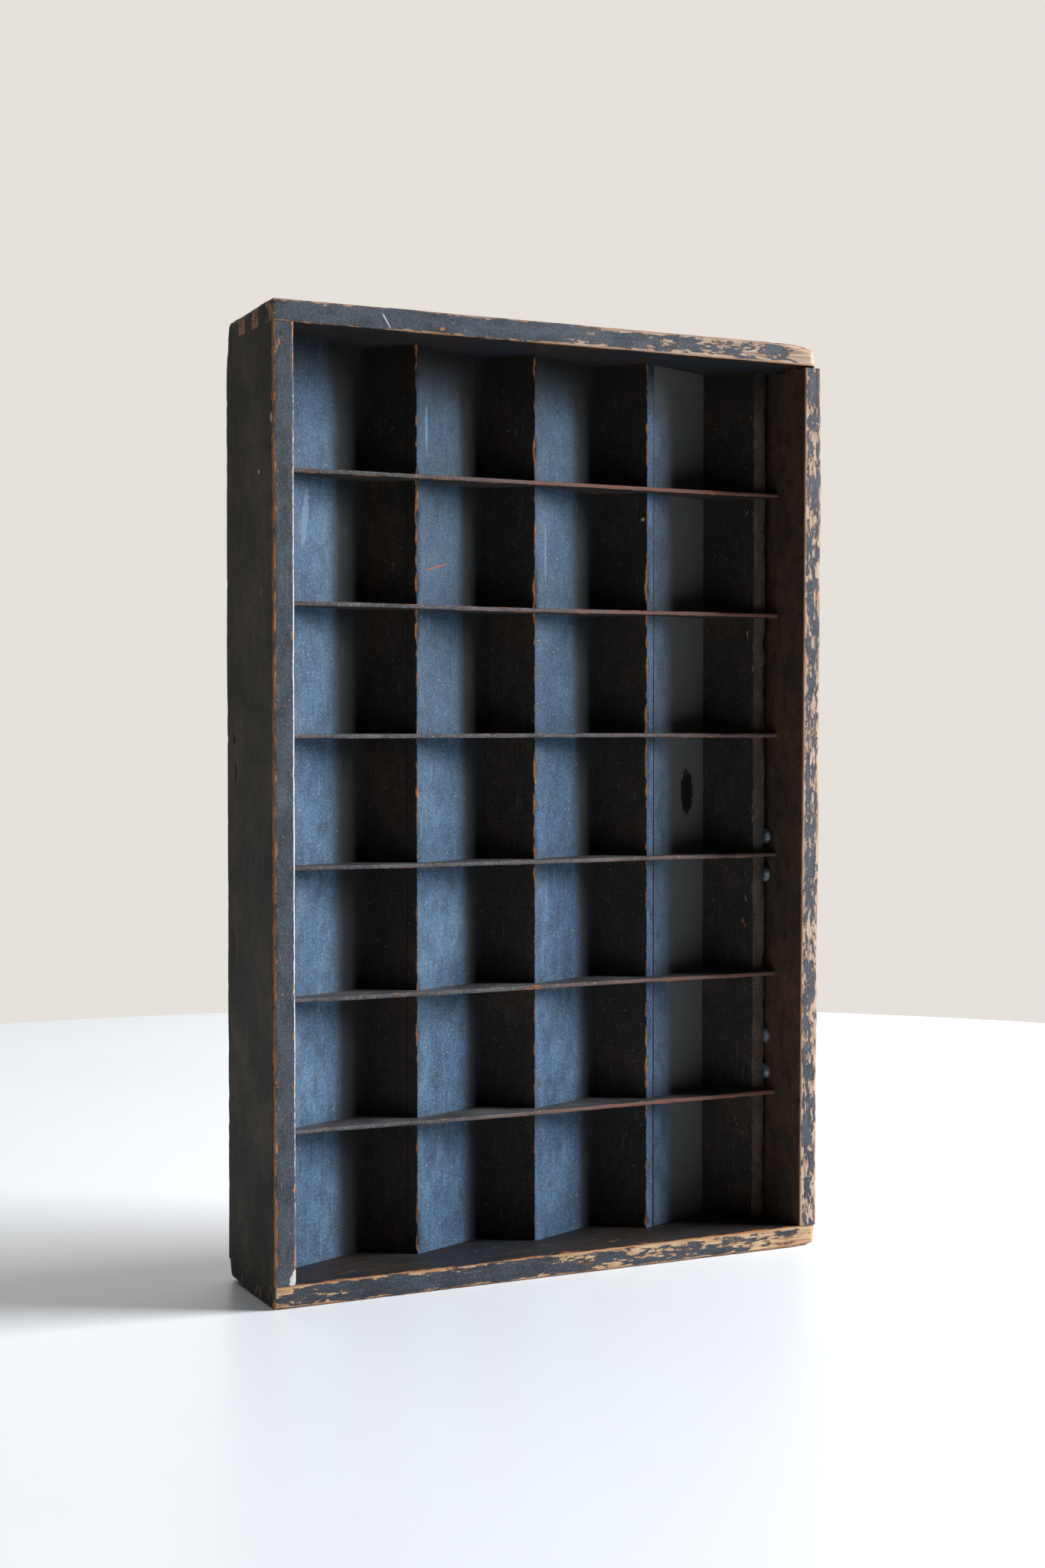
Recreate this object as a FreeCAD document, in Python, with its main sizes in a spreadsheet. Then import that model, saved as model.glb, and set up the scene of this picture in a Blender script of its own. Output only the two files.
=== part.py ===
"""Printer's type case: a finger-jointed tray with sloping compartments.

Own frame: +Z up, the open front faces -Y, origin at the bottom centre.
Inside each body, X runs from the left face, Y from the front face and Z from
the body's own lower face, so every outline is drawn in positive distances.
"""
import FreeCAD, Part
import Sketcher
import os

DRIVING_SIZES = {
    # outer frame, finger-jointed from one thickness of board
    "case_height": 420.0,
    "case_width": 269.0,
    "case_depth": 59.4,
    "frame_board": 9.4,
    "finger_count": 7,
    # back panel, let into a rebate that leaves this much board outside it
    "panel_board": 8.0,
    "rebate_cover": 4.4,
    # zigzag of sloping boards: a wide slope and a steep slope for each column
    "slope_board": 4.3,
    "first_ridge": 19.2,
    "ridge_depth": 28.3,
    "ridge_pitch": 58.1,
    "wide_run": 40.6,
    "slope_drop": 17.7,
    # thin dividers that cross all the columns
    "divider_board": 2.0,
    "divider_front": 22.1,
    "lowest_divider": 68.2,
    "divider_pitch": 56.6,
    "groove_depth": 1.5,
    # round-head screws inside the right board
    "screw_head": 8.0,
    "screw_rise": 2.6,
    "screw_round": 2.2,
    "screw_shank": 3.6,
    "screw_hole": 4.0,
    "screw_length": 7.5,
    "slot_width": 1.2,
    "slot_depth": 1.1,
    "screw_setback": 29.7,
    # nails that hold the back panel in its rebate
    "nail_head": 4.2,
    "nail_seat": 4.4,
    "nail_head_rise": 1.0,
    "nail_shank": 1.6,
    "nail_hole": 1.9,
    "nail_length": 19.0,
    "nail_inset": 2.4,
    "nail_margin": 45.0,
}
COLUMNS = 4
DIVIDERS = 6
SCREW_HEIGHTS = (78.6, 96.0, 173.0, 191.0)
SIDE_NAILS = 4
END_NAILS = 3
SMALLEST_CUT = 0.1      # cubic millimetres: less than this means a cut missed

# How the two boards meet along each ridge, from left to right.
WIDE_COVERS, MITRED, STEEP_COVERS, SQUARED_OFF = range(4)
RIDGE_JOINTS = (WIDE_COVERS, MITRED, STEEP_COVERS, SQUARED_OFF)

# Point numbers and the origin's own number in a sketch's constraints.
ORIGIN = -1
START = 1
END = 2
CENTRE = 3

doc = FreeCAD.newDocument("type_case")
sheet = doc.addObject("Spreadsheet::Sheet", "Sizes")
parts = []


# ---- sizes -----------------------------------------------------------------

class Size:
    """A length written in terms of the sheet's cells."""

    def __init__(self, text):
        self.text = text

    def joined(self, sign, other):
        return Size("(%s %s %s)" % (self.text, sign, as_size(other).text))

    def __add__(self, other):
        return self.joined("+", other)

    def __sub__(self, other):
        return self.joined("-", other)

    def __mul__(self, other):
        return self.joined("*", other)

    def __truediv__(self, other):
        return self.joined("/", other)

    def value(self):
        return float(sheet.evalExpression(self.text))


def as_size(size):
    return size if isinstance(size, Size) else Size(repr(size))


def cell(alias):
    return Size("Sizes.%s" % alias)


def hypotenuse(run, rise):
    return Size("sqrt(%s ^ 2 + %s ^ 2)" % (run.text, rise.text))


def fill_sheet():
    for row, (alias, value) in enumerate(DRIVING_SIZES.items(), start=1):
        sheet.set("A%d" % row, alias)
        sheet.set("B%d" % row, str(value))
        sheet.setAlias("B%d" % row, alias)
    doc.recompute()


fill_sheet()
zero = as_size(0)
width = cell("case_width")
depth = cell("case_depth")
height = cell("case_height")
board = cell("frame_board")
left_face = zero - width / 2
front_face = zero - depth / 2
finger = depth / cell("finger_count")
cover = cell("rebate_cover")
panel_front = depth - cell("panel_board")
nail_tip = depth - cell("nail_length")
near_nail = cover + cell("nail_inset")
far_nail = board - near_nail
steep_run = cell("ridge_pitch") - cell("wide_run")
wide_length = hypotenuse(cell("wide_run"), cell("slope_drop"))
steep_length = hypotenuse(steep_run, cell("slope_drop"))


# ---- bodies, sketches and features -----------------------------------------

def new_body(label, x, y, z, kept=True):
    body = doc.addObject("PartDesign::Body", label)
    body.Label = label
    for axis, size in zip("xyz", (x, y, z)):
        body.setExpression("Placement.Base.%s" % axis, as_size(size).text)
    if kept:
        parts.append(body)
    return body


def origin_feature(body, role):
    return next(f for f in body.Origin.OriginFeatures if f.Role == role)


def new_sketch(body, name, plane, offset=None):
    sketch = body.newObject("Sketcher::SketchObject", "%s_%s" % (body.Label, name))
    sketch.AttachmentSupport = [(origin_feature(body, plane), "")]
    sketch.MapMode = "FlatFace"
    if offset is not None:
        sketch.setExpression("AttachmentOffset.Base.z", offset.text)
    return sketch


def place_point(sketch, geometry, point, x, y):
    for kind, size in (("DistanceX", x), ("DistanceY", y)):
        rule = Sketcher.Constraint(kind, ORIGIN, START, geometry, point, size.value())
        index = sketch.addConstraint(rule)
        sketch.setExpression("Constraints[%d]" % index, size.text)


def draw_outline(sketch, corners):
    """Closed outline through corners given as pairs of Size."""
    points = [FreeCAD.Vector(x.value(), y.value(), 0) for x, y in corners]
    first = sketch.GeometryCount
    count = len(points)
    for number in range(count):
        edge = Part.LineSegment(points[number], points[(number + 1) % count])
        sketch.addGeometry(edge, False)
    for number, (x, y) in enumerate(corners):
        following = first + (number + 1) % count
        joint = Sketcher.Constraint("Coincident", first + number, END, following, START)
        sketch.addConstraint(joint)
        place_point(sketch, first + number, START, x, y)


def draw_rectangle(sketch, left, low, width, height):
    right = left + width
    high = low + height
    draw_outline(sketch, [(left, low), (right, low), (right, high), (left, high)])


def draw_circle(sketch, x, y, diameter):
    centre = FreeCAD.Vector(x.value(), y.value(), 0)
    ring = Part.Circle(centre, FreeCAD.Vector(0, 0, 1), diameter.value() / 2)
    index = sketch.addGeometry(ring, False)
    place_point(sketch, index, CENTRE, x, y)
    rule = sketch.addConstraint(Sketcher.Constraint("Diameter", index, diameter.value()))
    sketch.setExpression("Constraints[%d]" % rule, diameter.text)


def check_cut(body, feature, volume_before):
    body.Tip = feature
    doc.recompute()
    if body.Shape.Volume > volume_before - SMALLEST_CUT:
        raise RuntimeError("%s takes nothing away" % feature.Name)


def add_pad(body, sketch, length):
    pad = body.newObject("PartDesign::Pad", "%s_pad" % sketch.Name)
    pad.Profile = sketch
    pad.setExpression("Length", length.text)
    body.Tip = pad
    doc.recompute()


def add_pocket(body, sketch, length=None, towards_normal=False):
    """Cut the sketch into the body: a set length, or right through."""
    volume_before = body.Shape.Volume
    pocket = body.newObject("PartDesign::Pocket", "%s_cut" % sketch.Name)
    pocket.Profile = sketch
    pocket.Reversed = towards_normal
    if length is None:
        pocket.Type = "ThroughAll"
    else:
        pocket.setExpression("Length", length.text)
    check_cut(body, pocket, volume_before)
    return pocket


def repeat_along(body, feature, axis, length, count):
    volume_before = body.Shape.Volume
    row = body.newObject("PartDesign::LinearPattern", "%s_row" % feature.Name)
    row.Originals = [feature]
    row.Direction = (origin_feature(body, axis), [""])
    row.setExpression("Length", length.text)
    row.Occurrences = count
    check_cut(body, row, volume_before)


def turn_profile(body, corners, axis):
    """A solid of revolution from an outline in the body's XY plane."""
    sketch = new_sketch(body, "profile", "XY_Plane")
    draw_outline(sketch, corners)
    turned = body.newObject("PartDesign::Revolution", "%s_turned" % body.Label)
    turned.Profile = sketch
    turned.ReferenceAxis = (origin_feature(body, axis), [""])
    turned.Angle = 360
    body.Tip = turned
    doc.recompute()
    return turned


# ---- outer frame -----------------------------------------------------------

def evenly_placed(length, count):
    """Distances along a board of that length, spread between its nail margins."""
    spacing = (length - cell("nail_margin") * 2) / (count - 1)
    return [cell("nail_margin") + spacing * number for number in range(count)]


def cut_nail_holes(body, centres):
    """Blind holes for the nails that come through the back panel."""
    sketch = new_sketch(body, "nail_holes", "XZ_Plane", zero - nail_tip)
    for x, z in centres:
        draw_circle(sketch, x, z, cell("nail_hole"))
    add_pocket(body, sketch)


def end_board(label, z, rebate_low, nail_height):
    """Top or bottom board: it owns the odd fingers, front and back included."""
    body = new_body(label, left_face, front_face, z)
    outline = new_sketch(body, "outline", "XY_Plane")
    draw_rectangle(outline, zero, zero, width, depth)
    add_pad(body, outline, board)
    sockets = new_sketch(body, "sockets", "XY_Plane")
    draw_rectangle(sockets, zero, finger, board, finger)
    draw_rectangle(sockets, width - board, finger, board, finger)
    cut = add_pocket(body, sockets, towards_normal=True)
    repeat_along(body, cut, "Y_Axis", finger * 4, 3)
    rebate = new_sketch(body, "rebate", "XZ_Plane", zero - depth)
    draw_rectangle(rebate, cover, rebate_low, width - cover * 2, board - cover)
    add_pocket(body, rebate, cell("panel_board"), towards_normal=True)
    cut_nail_holes(body, [(x, nail_height) for x in evenly_placed(width, END_NAILS)])


def side_board(label, x, rebate_left, groove_left, nail_x):
    """Left or right board: the even fingers, divider grooves, rebate for the panel."""
    body = new_body(label, x, front_face, zero)
    outline = new_sketch(body, "outline", "YZ_Plane")
    draw_rectangle(outline, zero, zero, depth, height)
    add_pad(body, outline, board)
    sockets = new_sketch(body, "sockets", "YZ_Plane")
    draw_rectangle(sockets, zero, zero, finger, board)
    draw_rectangle(sockets, zero, height - board, finger, board)
    cut = add_pocket(body, sockets, towards_normal=True)
    repeat_along(body, cut, "Y_Axis", finger * 6, 4)
    rebate = new_sketch(body, "rebate", "XY_Plane")
    draw_rectangle(rebate, rebate_left, panel_front, board - cover, cell("panel_board"))
    add_pocket(body, rebate, towards_normal=True)
    groove = new_sketch(body, "groove", "XY_Plane", cell("lowest_divider"))
    draw_rectangle(groove, groove_left, cell("divider_front"), cell("groove_depth"),
                   cell("ridge_depth") - cell("divider_front"))
    cut = add_pocket(body, groove, cell("divider_board"), towards_normal=True)
    repeat_along(body, cut, "Z_Axis", cell("divider_pitch") * (DIVIDERS - 1), DIVIDERS)
    cut_nail_holes(body, [(nail_x, z) for z in evenly_placed(height, SIDE_NAILS)])
    return body


def drill_for_screws(body):
    holes = new_sketch(body, "screw_holes", "YZ_Plane")
    for level in SCREW_HEIGHTS:
        draw_circle(holes, cell("screw_setback"), as_size(level), cell("screw_hole"))
    add_pocket(body, holes, cell("screw_length") + 1, towards_normal=True)


def nail_centres():
    """Nail positions as distances from the case's left and lower faces."""
    sides = [(x, z) for x in (near_nail, width - near_nail)
             for z in evenly_placed(height, SIDE_NAILS)]
    ends = [(x, z) for z in (near_nail, height - near_nail)
            for x in evenly_placed(width, END_NAILS)]
    return sides + ends


def back_panel():
    """Flat board that drops into the rebate from behind."""
    body = new_body("back_panel", left_face + cover, front_face + panel_front, cover)
    outline = new_sketch(body, "outline", "XY_Plane")
    draw_rectangle(outline, zero, zero, width - cover * 2, cell("panel_board"))
    add_pad(body, outline, height - cover * 2)
    holes = new_sketch(body, "nail_holes", "XZ_Plane")
    seats = new_sketch(body, "nail_seats", "XZ_Plane", zero - cell("panel_board"))
    for x, z in nail_centres():
        draw_circle(holes, x - cover, z - cover, cell("nail_hole"))
        draw_circle(seats, x - cover, z - cover, cell("nail_seat"))
    add_pocket(body, holes)
    add_pocket(body, seats, cell("nail_head_rise"), towards_normal=True)


# ---- sloping boards --------------------------------------------------------

# One board's thickness, measured along the other board's front face.
lap_scale = cell("slope_board") / (cell("slope_drop") * cell("ridge_pitch"))
along_wide = (lap_scale * steep_length * cell("wide_run"),
              lap_scale * steep_length * cell("slope_drop"))
along_steep = (lap_scale * wide_length * steep_run,
               lap_scale * wide_length * cell("slope_drop"))


class Crossing:
    """The four corners where two equal boards cross at a ridge or a valley."""

    def __init__(self, x, y):
        self.front = (x, y)
        self.past_wide = (x + along_wide[0], y + along_wide[1])
        self.past_steep = (x - along_steep[0], y + along_steep[1])
        self.back = (self.past_wide[0] - along_steep[0], self.past_wide[1] + along_steep[1])


def ridge(number):
    return Crossing(cell("first_ridge") + cell("ridge_pitch") * number, cell("ridge_depth"))


def valley(number):
    x = cell("first_ridge") + cell("ridge_pitch") * (number - 1) + cell("wide_run")
    return Crossing(x, cell("ridge_depth") + cell("slope_drop"))


def slope_body(label, corners):
    body = new_body(label, left_face, front_face, board)
    outline = new_sketch(body, "outline", "XY_Plane")
    draw_outline(outline, corners)
    add_pad(body, outline, height - board * 2)


def wide_slope_left_end(number):
    """Back and front corner at the ridge, or at the left board for the first."""
    if number == 1:
        rise = (cell("first_ridge") - board) * cell("slope_drop") / cell("wide_run")
        front_depth = cell("ridge_depth") - rise
        back_depth = front_depth + cell("slope_board") * wide_length / cell("wide_run")
        return [(board, back_depth), (board, front_depth)]
    crossing = ridge(number - 1)
    style = RIDGE_JOINTS[number - 2]
    back = crossing.past_steep if style == WIDE_COVERS else crossing.back
    front = crossing.past_wide if style == STEEP_COVERS else crossing.front
    return [back, front]


def wide_slope(number):
    """Broad board, from a ridge back to the valley, where it runs behind the steep one."""
    foot = valley(number)
    corners = wide_slope_left_end(number) + [foot.past_wide, foot.back]
    slope_body("wide_slope_%d" % number, corners)


def steep_slope(number):
    """Narrow board, from the valley forward to the next ridge."""
    foot = valley(number)
    crossing = ridge(number)
    style = RIDGE_JOINTS[number - 1]
    front = crossing.past_steep if style == WIDE_COVERS else crossing.front
    back = crossing.past_wide if style == STEEP_COVERS else crossing.back
    if style == SQUARED_OFF:
        edge = cell("slope_board") * steep_length / cell("slope_drop")
        back = (front[0] + edge, front[1])
    slope_body("steep_slope_%d" % number, [foot.front, front, back, foot.past_wide])


def divider(number):
    """Thin slat with a straight front edge and a back edge cut to the zigzag."""
    level = cell("lowest_divider") + cell("divider_pitch") * (DIVIDERS - number)
    body = new_body("divider_%d" % number, left_face, front_face, level)
    left = board - cell("groove_depth")
    right = width - left
    front = cell("divider_front")
    wall_corner = wide_slope_left_end(1)[1]
    corners = [(right, front), (left, front), (left, wall_corner[1]), wall_corner]
    for column in range(1, COLUMNS + 1):
        corners += [valley(column).front, ridge(column).front]
    corners.append((right, cell("ridge_depth")))
    outline = new_sketch(body, "outline", "XY_Plane")
    draw_outline(outline, corners)
    add_pad(body, outline, cell("divider_board"))


# ---- fasteners -------------------------------------------------------------

def outer_edge(feature, x):
    """Name of the widest circular edge at that distance along the screw."""
    rings = [(edge.Curve.Radius, index)
             for index, edge in enumerate(feature.Shape.Edges, start=1)
             if isinstance(edge.Curve, Part.Circle)
             and abs(edge.CenterOfMass.x - x) < SMALLEST_CUT]
    return "Edge%d" % max(rings)[1]


def wall_screw(number, level):
    """Slotted round-head screw, driven into the right board from inside."""
    body = new_body("wall_screw_%d" % number, width / 2 - board,
                    cell("screw_setback") - depth / 2, as_size(level))
    rim = cell("screw_head") / 2
    shank = cell("screw_shank") / 2
    crown = zero - cell("screw_rise")
    tip = cell("screw_length")
    turned = turn_profile(body, [(crown, zero), (crown, rim), (zero, rim), (zero, shank),
                                 (tip - shank, shank), (tip, zero)], "X_Axis")
    dome = body.newObject("PartDesign::Fillet", "%s_dome" % body.Label)
    dome.Base = (turned, [outer_edge(turned, crown.value())])
    dome.setExpression("Radius", cell("screw_round").text)
    check_cut(body, dome, turned.Shape.Volume)
    slot = new_sketch(body, "slot", "XZ_Plane", zero - cell("slot_width") / 2)
    draw_rectangle(slot, crown - 1, zero - rim - 1, cell("slot_depth") + 1,
                   cell("screw_head") + 2)
    add_pocket(body, slot, cell("slot_width"), towards_normal=True)


def panel_nails():
    """Flat-head nails through the back panel into the frame boards."""
    nails = []
    head = cell("nail_head") / 2
    shank = cell("nail_shank") / 2
    rise = cell("nail_head_rise")
    tip = rise - cell("nail_length")
    for number, (x, z) in enumerate(nail_centres(), start=1):
        body = new_body("nail_%d" % number, left_face + x, depth / 2 - rise, z, kept=False)
        turn_profile(body, [(zero, tip), (shank, tip + shank * 2), (shank, zero),
                            (head, zero), (head, rise), (zero, rise)], "Y_Axis")
        nails.append(body)
    group = doc.addObject("Part::Compound", "back_panel_nails")
    group.Label = "back_panel_nails"
    group.Links = nails
    parts.append(group)


# ---- building and writing --------------------------------------------------

def check_document():
    doc.recompute()
    for item in doc.Objects:
        if "Invalid" in item.State or "Error" in item.State:
            raise RuntimeError("%s failed: %s" % (item.Name, item.State))
    for part in parts:
        if part.Shape.isNull() or not part.Shape.isValid():
            raise RuntimeError("%s has no valid shape" % part.Label)


def write_parts():
    os.makedirs("parts", exist_ok=True)
    for part in parts:
        part.Shape.exportStep("parts/%s.step" % part.Label)
        print("%-20s %10.1f mm3, %d solid(s)" % (part.Label, part.Shape.Volume,
                                                 len(part.Shape.Solids)))


def build():
    end_board("top_board", height - board, zero, far_nail)
    end_board("bottom_board", zero, cover, near_nail)
    side_board("left_board", left_face, cover, board - cell("groove_depth"), near_nail)
    right = side_board("right_board", width / 2 - board, zero, zero, far_nail)
    drill_for_screws(right)
    back_panel()
    for number in range(1, COLUMNS + 1):
        wide_slope(number)
        steep_slope(number)
    for number in range(1, DIVIDERS + 1):
        divider(number)
    for number, level in enumerate(SCREW_HEIGHTS, start=1):
        wall_screw(number, level)
    panel_nails()


build()
check_document()
write_parts()
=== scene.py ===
# %% [markdown]
# # A printer's type case, worn by a century of hands
#
# The real object is a shallow tray of painted softwood: four frame boards with finger joints,
# a zigzag of thin sloping boards, and six slats that divide the zigzag into sloping cells.
# The CAD model already holds every size. This lesson gives the same boards their wear: arrises
# rubbed round, paint flaked off along the grain, dust in the cells. The first cell loads that
# model as a fixed frame, and keeps its box, because nothing may grow past it.

# %% Load the frame
import math

import bmesh
import bpy
import numpy as np
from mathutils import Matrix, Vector, noise


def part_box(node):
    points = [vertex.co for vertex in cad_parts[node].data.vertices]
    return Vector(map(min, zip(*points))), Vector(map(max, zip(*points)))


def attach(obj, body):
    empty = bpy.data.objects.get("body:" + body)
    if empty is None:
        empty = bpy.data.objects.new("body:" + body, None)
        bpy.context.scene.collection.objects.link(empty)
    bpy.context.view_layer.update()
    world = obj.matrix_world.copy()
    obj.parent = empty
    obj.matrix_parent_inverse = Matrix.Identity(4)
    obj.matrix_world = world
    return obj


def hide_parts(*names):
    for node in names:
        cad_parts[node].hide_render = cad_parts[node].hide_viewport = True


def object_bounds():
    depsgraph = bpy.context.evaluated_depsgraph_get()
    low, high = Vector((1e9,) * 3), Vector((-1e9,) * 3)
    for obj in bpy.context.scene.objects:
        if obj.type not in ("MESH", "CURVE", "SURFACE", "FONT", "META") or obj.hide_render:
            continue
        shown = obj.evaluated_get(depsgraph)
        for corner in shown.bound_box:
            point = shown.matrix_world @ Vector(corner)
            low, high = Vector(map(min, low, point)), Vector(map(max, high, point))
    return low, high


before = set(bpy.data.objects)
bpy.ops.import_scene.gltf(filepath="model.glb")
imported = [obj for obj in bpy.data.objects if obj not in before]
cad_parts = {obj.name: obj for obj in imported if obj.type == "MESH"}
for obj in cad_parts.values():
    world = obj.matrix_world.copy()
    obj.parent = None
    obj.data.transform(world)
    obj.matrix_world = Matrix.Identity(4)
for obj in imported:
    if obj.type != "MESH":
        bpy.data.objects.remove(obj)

MM = 0.001
cad_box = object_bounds()
low_corner, high_corner = (np.array(corner) for corner in cad_box)
print("case box, mm:", np.round((high_corner - low_corner) / MM, 1))

# %% [markdown]
# ## The case's own measurements
#
# Everything below is placed from the frame's nodes. The left board's box gives the thickness
# of the frame stock, the back panel's box gives the rebate that it sits in, and a finger is a
# seventh of the depth, because each corner joint has seven of them.

# %% Measure the frame
LEFT, FRONT, FOOT = low_corner
RIGHT, BACK, TOP = high_corner
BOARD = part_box("left_board")[1][0] - LEFT
PANEL_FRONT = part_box("back_panel")[0][1]
REBATE_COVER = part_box("back_panel")[0][0] - LEFT
INNER_LEFT = LEFT + BOARD
INNER_RIGHT = RIGHT - BOARD
INNER_FOOT = FOOT + BOARD
INNER_TOP = TOP - BOARD
FINGERS = 7
FINGER = (BACK - FRONT) / FINGERS
JOINT_GAP = 0.10 * MM
print("board %.1f mm, finger %.2f mm" % (BOARD / MM, FINGER / MM))

# %% [markdown]
# ## A solid made of grid cells
#
# A finger-jointed board could be cut with booleans, but those leave long thin faces that can't
# be bent or worn. Instead each board starts as an uneven 3-D grid: the lines crowd together
# near the arrises, where wood wears away, and spread out on the flats. The skin of the cells
# that are filled is a closed mesh of neat quads, and the grid's corners can then be carried to
# a slanted or bowed board.

# %% Build a closed skin round filled cells
def every_cell(x, y, z):
    """The rule for a plain board: no cell is left out."""
    return np.full(x.shape, True)


def skin_of_cells(lines, filled=every_cell):
    """Corner points and quads round the filled cells of an uneven grid."""
    middles = [(line[1:] + line[:-1]) / 2 for line in lines]
    solid = np.pad(filled(*np.meshgrid(*middles, indexing="ij")), 1)
    counts = [len(line) for line in lines]
    number = np.arange(np.prod(counts)).reshape(counts)
    quads = []
    for axis in range(3):
        turn = (axis, (axis + 1) % 3, (axis + 2) % 3)
        cells = solid.transpose(turn)[:, 1:-1, 1:-1]
        names = number.transpose(turn)
        for before, after, order in ((cells[:-1], cells[1:], 1), (cells[1:], cells[:-1], -1)):
            i, j, k = np.nonzero(before & ~after)
            ring = (names[i, j, k], names[i, j + 1, k],
                    names[i, j + 1, k + 1], names[i, j, k + 1])
            quads.append(np.stack(ring[::order], axis=1))
    quads = np.concatenate(quads)
    used, quads = np.unique(quads, return_inverse=True)
    points = np.stack(np.meshgrid(*lines, indexing="ij"), axis=-1).reshape(-1, 3)
    return points[used], quads.reshape(-1, 4)


EDGE_STEPS = np.array([0, 0.35, 0.9, 1.8, 3.2, 5.2]) * MM


def lines_between(low, high, step, extra=()):
    """Grid lines that crowd near both ends, with a few more where they are needed."""
    count = max(2, int(round((high - low) / step)) + 1)
    wanted = [np.linspace(low, high, count), low + EDGE_STEPS, high - EDGE_STEPS, extra]
    values = np.unique(np.round(np.concatenate(wanted), 6))
    values = values[(values >= low - 1e-6) & (values <= high + 1e-6)]
    keep = np.concatenate(([True], np.diff(values) > 0.04 * MM))
    return values[keep]


print("lines across a board:", len(lines_between(0, BOARD, 3 * MM)))

# %% [markdown]
# ## Wear on an arris
#
# Wood never keeps a sharp arris. Where two faces meet, the square of wood beside the arris is
# squeezed into a quarter of a circle, layer by layer, so that even a large round corner has no
# folds in its mesh. The radius isn't constant: a slow noise along the board makes some stretches
# rounder, and a quick one takes small chips. The distance to the nearest arris is also stored
# on the mesh, in millimetres, because paint wears away first just there.

# %% Round the arrises by different amounts
EIGHTH = math.radians(45)     # half of the quarter turn that a round corner makes


def drift(points, size, seed):
    """Smooth noise from -1 to 1 that changes over about that size."""
    shift = Vector((seed * 7.3, seed * 3.1, seed * 5.7))
    return np.array([noise.noise(Vector(point) / size + shift) for point in points])


class Face:
    """A flat face of a board: how far points lie inside it, and which way it looks."""

    def __init__(self, point, outward):
        self.point = np.array(point, float)
        self.outward = np.array(outward, float) / np.linalg.norm(outward)

    def inside(self, points):
        return (self.point - points) @ self.outward


class Arris:
    """Two faces of a board, the radius that wear has left, and the paint lost beside it."""

    def __init__(self, one, other, radius, rough=0.6, seed=1, boost=None, loss=0.0, wide=1.2):
        self.faces = (one, other)
        self.radius = radius
        self.rough = rough
        self.seed = seed
        self.boost = boost
        self.loss = loss
        self.wide = wide

    def radius_at(self, points):
        slow = drift(points, 26 * MM, self.seed)
        quick = np.clip(drift(points, 4.5 * MM, self.seed + 20) - 0.15, 0, 1)
        radius = self.radius * np.clip(1 + self.rough * (slow * 1.3 + quick * 3.2), 0.3, 4)
        if self.boost is not None:
            radius = radius + self.boost(points)
        return np.maximum(radius, 0.05 * MM)


ON_FACE = 0.02 * MM
FAR_MM = 40.0


def wear(points, arrises):
    """Worn points, the distance to the nearest arris in millimetres, and the paint lost."""
    moved = points.copy()
    nearest = np.full(len(points), FAR_MM)
    lost = np.zeros(len(points))
    sinks = {}
    for arris in arrises:
        gaps = [face.inside(points) for face in arris.faces]
        for one, other in ((0, 1), (1, 0)):
            shallow, deep = gaps[one], gaps[other]
            on_face = (np.abs(shallow) < ON_FACE) & (deep > -ON_FACE)
            nearest[on_face] = np.minimum(nearest[on_face], deep[on_face] / MM)
            near = (shallow > -ON_FACE) & (shallow <= deep + ON_FACE) & (deep < 12 * MM)
            close = np.nonzero(near)[0]
            if len(close) == 0:
                continue
            depth = np.maximum(shallow[close], 0)
            across = np.maximum(deep[close], 0) - depth
            room = np.maximum(arris.radius_at(points[close]) - depth, 1e-6)
            turn = EIGHTH * np.clip(1 - across / room, 0, 1)
            for which, sink in ((one, room * (1 - np.cos(turn))),
                                (other, room * (1 - np.sin(turn)) - across)):
                deepest = sinks.setdefault(arris.faces[which], np.zeros(len(points)))
                deepest[close] = np.maximum(deepest[close], sink)
            fade = arris.loss * np.exp(-across / MM / arris.wide)
            if arris.boost is not None:
                knocked = arris.boost(points[close]) / MM
                fade = np.maximum(fade, np.clip(knocked * arris.loss * 0.6, 0, 0.3))
            lost[close] = np.maximum(lost[close], fade * on_face[close])
    for face, deepest in sinks.items():
        moved -= deepest[:, None] * face.outward
    return moved, np.clip(nearest, 0, FAR_MM), lost


# %% [markdown]
# ## From points to a piece
#
# One function turns points and quads into an object, gives it its materials, stores the two
# wear values as attributes for the shaders, names the piece after the node it stands for, hides
# that node and hangs the piece under the root body. Shading is smooth over the worn rounds and
# breaks at anything sharper than 40 degrees.

# %% Make a piece that stands for a node
SHARP = math.radians(40)


def make_piece(node, points, quads, values, materials, slot_of_face=None):
    mesh = bpy.data.meshes.new(node + "_worn")
    mesh.from_pydata(points.tolist(), [], quads.tolist())
    for name, value in values.items():
        layer = mesh.attributes.new(name, "FLOAT", "POINT")
        layer.data.foreach_set("value", np.asarray(value, dtype=np.float32))
    for material in materials:
        mesh.materials.append(material)
    if slot_of_face is not None:
        mesh.polygons.foreach_set("material_index", slot_of_face.astype(np.int32))
    tidy = bmesh.new()
    tidy.from_mesh(mesh)
    bmesh.ops.recalc_face_normals(tidy, faces=tidy.faces)
    tidy.to_mesh(mesh)
    tidy.free()
    mesh.shade_smooth()
    mesh.set_sharp_from_angle(angle=SHARP)
    piece = bpy.data.objects.new(node + "_worn", mesh)
    bpy.context.scene.collection.objects.link(piece)
    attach(piece, "root")
    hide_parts(node)
    print("%-16s %6d points" % (node, len(points)))
    return piece


# %% [markdown]
# ## Shader arithmetic that reads like arithmetic
#
# A node tree is easier to follow as a formula. `Wire` wraps a socket, so `1 - mask * 0.5`
# adds the Math nodes it needs. `Finish` holds one material: its `add` method makes any other
# node from its type, its settings and its inputs, and small helpers name the few that are used
# again and again.

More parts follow.
